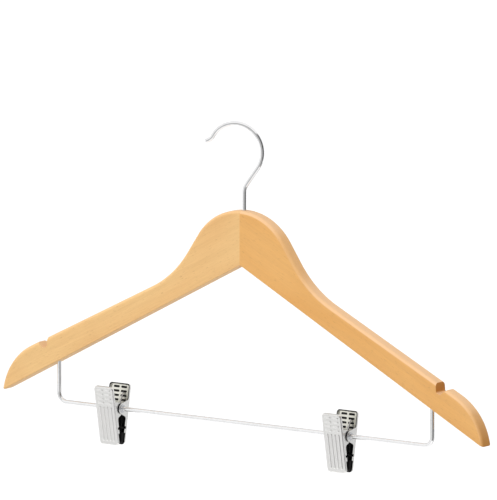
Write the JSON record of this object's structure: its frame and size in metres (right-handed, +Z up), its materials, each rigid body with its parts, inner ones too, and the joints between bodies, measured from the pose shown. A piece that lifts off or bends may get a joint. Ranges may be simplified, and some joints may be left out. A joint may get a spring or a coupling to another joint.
{
  "type": "wooden skirt hanger",
  "caption": "Wooden clothes hanger with a swivelling wire hook, strap notches and a wire bar carrying sliding sprung clips for skirts and trousers.",
  "frame": {"origin": "rail seat: the inside of the hook's arc straight above its stem", "axes": "+Z up along the stem, +X along the bar to the right arm, -Y towards the front"},
  "size_m": [0.4446, 0.0242, 0.2563],
  "materials": {
    "beech": "clear lacquered light wood, fine grain along each arm",
    "hook_chrome": "bright chrome plated wire",
    "clip_chrome": "bright plated stamped sheet",
    "zinc_steel": "zinc plated steel",
    "spring_steel": "bright drawn spring wire",
    "pad_rubber": "matt black moulded rubber"
  },
  "bodies": {
    "hook": {"swivel_hook": "hook_chrome", "hook_nut": "zinc_steel"},
    "hanger": {"left_arm": "beech", "right_arm": "beech", "hook_washer": "zinc_steel", "clip_bar": "hook_chrome"},
    "left_clip_runner": {"left_clip_eyelet": "zinc_steel"},
    "left_clip_front": {"left_clip_front_jaw": "clip_chrome", "left_clip_front_pad": "pad_rubber", "left_clip_spring": "spring_steel"},
    "left_clip_back": {"left_clip_back_jaw": "clip_chrome", "left_clip_back_pad": "pad_rubber"},
    "right_clip_runner": {"right_clip_eyelet": "zinc_steel"},
    "right_clip_front": {"right_clip_front_jaw": "clip_chrome", "right_clip_front_pad": "pad_rubber", "right_clip_spring": "spring_steel"},
    "right_clip_back": {"right_clip_back_jaw": "clip_chrome", "right_clip_back_pad": "pad_rubber"}
  },
  "joints": [
    {"name": "hook_swivel", "type": "hinge", "parent": "hook", "child": "hanger", "pos_m": [0, 0, -0.09], "axis": [0, 0, 1], "continuous": true},
    {"name": "left_clip_slide", "type": "slide", "parent": "hanger", "child": "left_clip_runner", "axis": [1, 0, 0], "range_m": [-0.032, 0.103]},
    {"name": "left_clip_swing", "type": "hinge", "parent": "left_clip_runner", "child": "left_clip_front", "pos_m": [-0.123, 0, -0.22398], "axis": [1, 0, 0], "continuous": true},
    {"name": "left_clip_open", "type": "hinge", "parent": "left_clip_front", "child": "left_clip_back", "pos_m": [-0.123, 0, -0.22398], "axis": [1, 0, 0], "range_deg": [0, 45], "stiffness_Nm_per_rad": 0.05, "deforming": ["left_clip_spring"]},
    {"name": "right_clip_slide", "type": "slide", "parent": "hanger", "child": "right_clip_runner", "axis": [1, 0, 0], "range_m": [-0.073, 0.067]},
    {"name": "right_clip_swing", "type": "hinge", "parent": "right_clip_runner", "child": "right_clip_front", "pos_m": [0.088, 0, -0.22398], "axis": [1, 0, 0], "continuous": true},
    {"name": "right_clip_open", "type": "hinge", "parent": "right_clip_front", "child": "right_clip_back", "pos_m": [0.088, 0, -0.22398], "axis": [1, 0, 0], "range_deg": [0, 45], "stiffness_Nm_per_rad": 0.05, "deforming": ["right_clip_spring"]}
  ]
}
